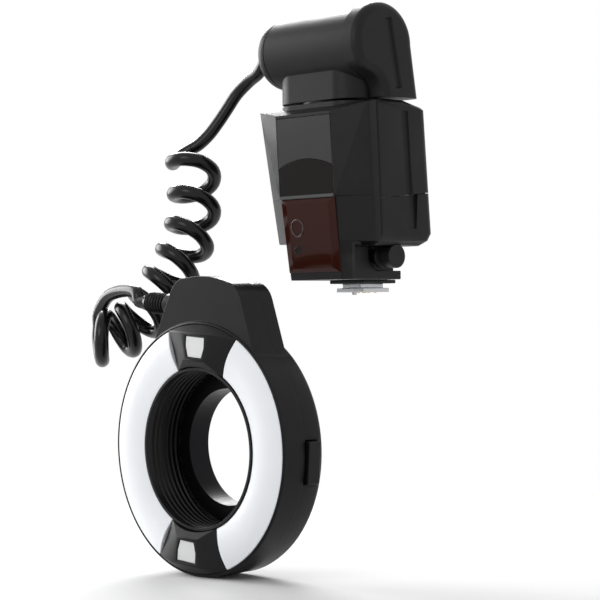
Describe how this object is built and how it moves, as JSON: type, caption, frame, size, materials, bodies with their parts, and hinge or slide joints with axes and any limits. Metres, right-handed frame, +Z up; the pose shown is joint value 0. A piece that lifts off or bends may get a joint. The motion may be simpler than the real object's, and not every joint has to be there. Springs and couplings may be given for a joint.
{
  "type": "macro ring flash",
  "caption": "Macro ring flash: a hot-shoe control unit with a tilting, swivelling head, a curly cord, and a ring-shaped flash head that turns on a lens adapter.",
  "frame": {"origin": "centre of the underside of the hot-shoe foot", "axes": "+Z up, the lens and the ring look along -Y, +X to the right of someone who looks at the front (the right in the picture)"},
  "size_m": [0.1598, 0.1309, 0.2666],
  "materials": {
    "steel": "plain bright steel",
    "brass": "gold flashed contacts and plain brass",
    "black_shell": "fine moulded texture, satin",
    "panel_grey": "satin",
    "dark_window": "polished, nearly opaque brown black",
    "trim_grey": "satin",
    "red_filter": "polished dark red infrared filter",
    "lamp_white": "clear white lamp body",
    "sensor_black": "dark epoxy",
    "cell_jacket": "plain grey jacket",
    "board_green": "solder mask",
    "capacitor_sleeve": "shrink sleeve",
    "display_glass": "plain display, nothing shown",
    "key_grey": "satin keys",
    "test_amber": "backlit key",
    "black_screw": "black oxide",
    "cord_black": "smooth glossy cord jacket",
    "ring_black": "fine moulded texture, satin",
    "sleeve_black": "dull, ribbed against stray light",
    "diffuser_white": "milky, finely frosted",
    "reflector_silver": "bright sheet",
    "tube_glass": "clear tube",
    "lens_clear": "clear with fine lines",
    "led_yellow": "lamp body on its board",
    "adapter_black": "black anodised"
  },
  "bodies": {
    "control_unit": {"shoe_foot": "steel", "shoe_contacts": "brass", "shoe_collar": "black_shell", "base_cover": "black_shell", "front_shell": "black_shell", "rear_shell": "black_shell", "name_panel": "panel_grey", "dark_window": "dark_window", "trim_bar": "trim_grey", "red_window": "red_filter", "af_lamp": "lamp_white", "light_sensor": "sensor_black", "top_collar": "black_shell", "swivel_washer": "steel", "battery_cells": "cell_jacket", "battery_tray": "black_shell", "main_board": "board_green", "main_capacitor": "capacitor_sleeve", "lcd_window": "display_glass", "display_board": "board_green", "case_screws": "black_screw", "cord_lead": "cord_black", "curly_cord": "cord_black", "cord_tail": "cord_black", "lens_adapter": "adapter_black"},
    "turret": {"turret": "black_shell", "swivel_clip": "steel"},
    "head": {"left_ear": "black_shell", "right_ear": "black_shell", "head_rear_cover": "black_shell", "tilt_pivots": "brass", "cable_gland": "cord_black"},
    "ring_head": {"ring_front_shell": "ring_black", "ring_rear_shell": "ring_black", "bore_sleeve": "sleeve_black", "left_diffuser": "diffuser_white", "right_diffuser": "diffuser_white", "reflectors": "reflector_silver", "flash_tubes": "tube_glass", "top_lamp_bezel": "ring_black", "bottom_lamp_bezel": "ring_black", "lamp_lenses": "lens_clear", "lamp_leds": "led_yellow", "ring_board": "board_green", "strain_relief": "cord_black", "ring_screws": "black_screw"},
    "right_release": {"right_release_button": "ring_black", "right_latch_plate": "steel"},
    "left_release": {"left_release_button": "ring_black", "left_latch_plate": "steel"},
    "lock_button": {"lock_button": "black_shell"},
    "lock_pin": {"lock_pin": "steel"},
    "battery_door": {"battery_door": "black_shell"},
    "mode_key": {"mode_key": "key_grey"},
    "minus_key": {"minus_key": "key_grey"},
    "plus_key": {"plus_key": "key_grey"},
    "lamp_key": {"lamp_key": "key_grey"},
    "test_button": {"test_button": "test_amber"},
    "power_switch": {"power_switch": "key_grey"}
  },
  "joints": [
    {"name": "head_swivel", "type": "hinge", "parent": "control_unit", "child": "turret", "pos_m": [0, -0.02, 0.0918], "axis": [0, 0, 1], "range_deg": [-90, 90], "deforming": ["cord_lead"]},
    {"name": "head_tilt", "type": "hinge", "parent": "turret", "child": "head", "pos_m": [0, -0.0215, 0.1175], "axis": [1, 0, 0], "range_deg": [0, 90], "deforming": ["cord_lead"]},
    {"name": "ring_turn", "type": "hinge", "parent": "control_unit", "child": "ring_head", "pos_m": [0, -0.0956, -0.0713], "axis": [0, 1, 0], "range_deg": [-45, 45], "deforming": ["curly_cord", "cord_tail"]},
    {"name": "right_release_press", "type": "slide", "parent": "ring_head", "child": "right_release", "axis": [-0.9969, 0, 0.0785], "range_m": [0, 0.0022], "stiffness_N_per_m": 1200, "springref_m": -0.001},
    {"name": "left_release_press", "type": "slide", "parent": "ring_head", "child": "left_release", "axis": [0.9969, 0, -0.0785], "range_m": [0, 0.0022], "stiffness_N_per_m": 1200, "springref_m": -0.001},
    {"name": "lock_press", "type": "slide", "parent": "control_unit", "child": "lock_button", "axis": [-1, 0, 0], "range_m": [0, 0.0025], "stiffness_N_per_m": 1200, "springref_m": -0.001},
    {"name": "lock_pin_lift", "type": "slide", "parent": "control_unit", "child": "lock_pin", "axis": [0, 0, 1], "range_m": [0, 0.002]},
    {"name": "battery_door_slide", "type": "slide", "parent": "control_unit", "child": "battery_door", "axis": [0, 0.0995, -0.995], "range_m": [0, 0.008]},
    {"name": "power_switch_slide", "type": "slide", "parent": "control_unit", "child": "power_switch", "axis": [-1, 0, 0], "range_m": [0, 0.004]},
    {"name": "mode_key_press", "type": "slide", "parent": "control_unit", "child": "mode_key", "axis": [0, -0.9906, -0.1372], "range_m": [0, 0.0008], "stiffness_N_per_m": 1500, "springref_m": -0.0004},
    {"name": "minus_key_press", "type": "slide", "parent": "control_unit", "child": "minus_key", "axis": [0, -0.9906, -0.1372], "range_m": [0, 0.0008], "stiffness_N_per_m": 1500, "springref_m": -0.0004},
    {"name": "plus_key_press", "type": "slide", "parent": "control_unit", "child": "plus_key", "axis": [0, -0.9906, -0.1372], "range_m": [0, 0.0008], "stiffness_N_per_m": 1500, "springref_m": -0.0004},
    {"name": "lamp_key_press", "type": "slide", "parent": "control_unit", "child": "lamp_key", "axis": [0, -0.9906, -0.1372], "range_m": [0, 0.0008], "stiffness_N_per_m": 1500, "springref_m": -0.0004},
    {"name": "test_button_press", "type": "slide", "parent": "control_unit", "child": "test_button", "axis": [0, -0.9906, -0.1372], "range_m": [0, 0.0008], "stiffness_N_per_m": 1500, "springref_m": -0.0004}
  ],
  "couplings": [
    {"joint": "lock_pin_lift", "follows": "lock_press", "ratio": 0.8}
  ]
}
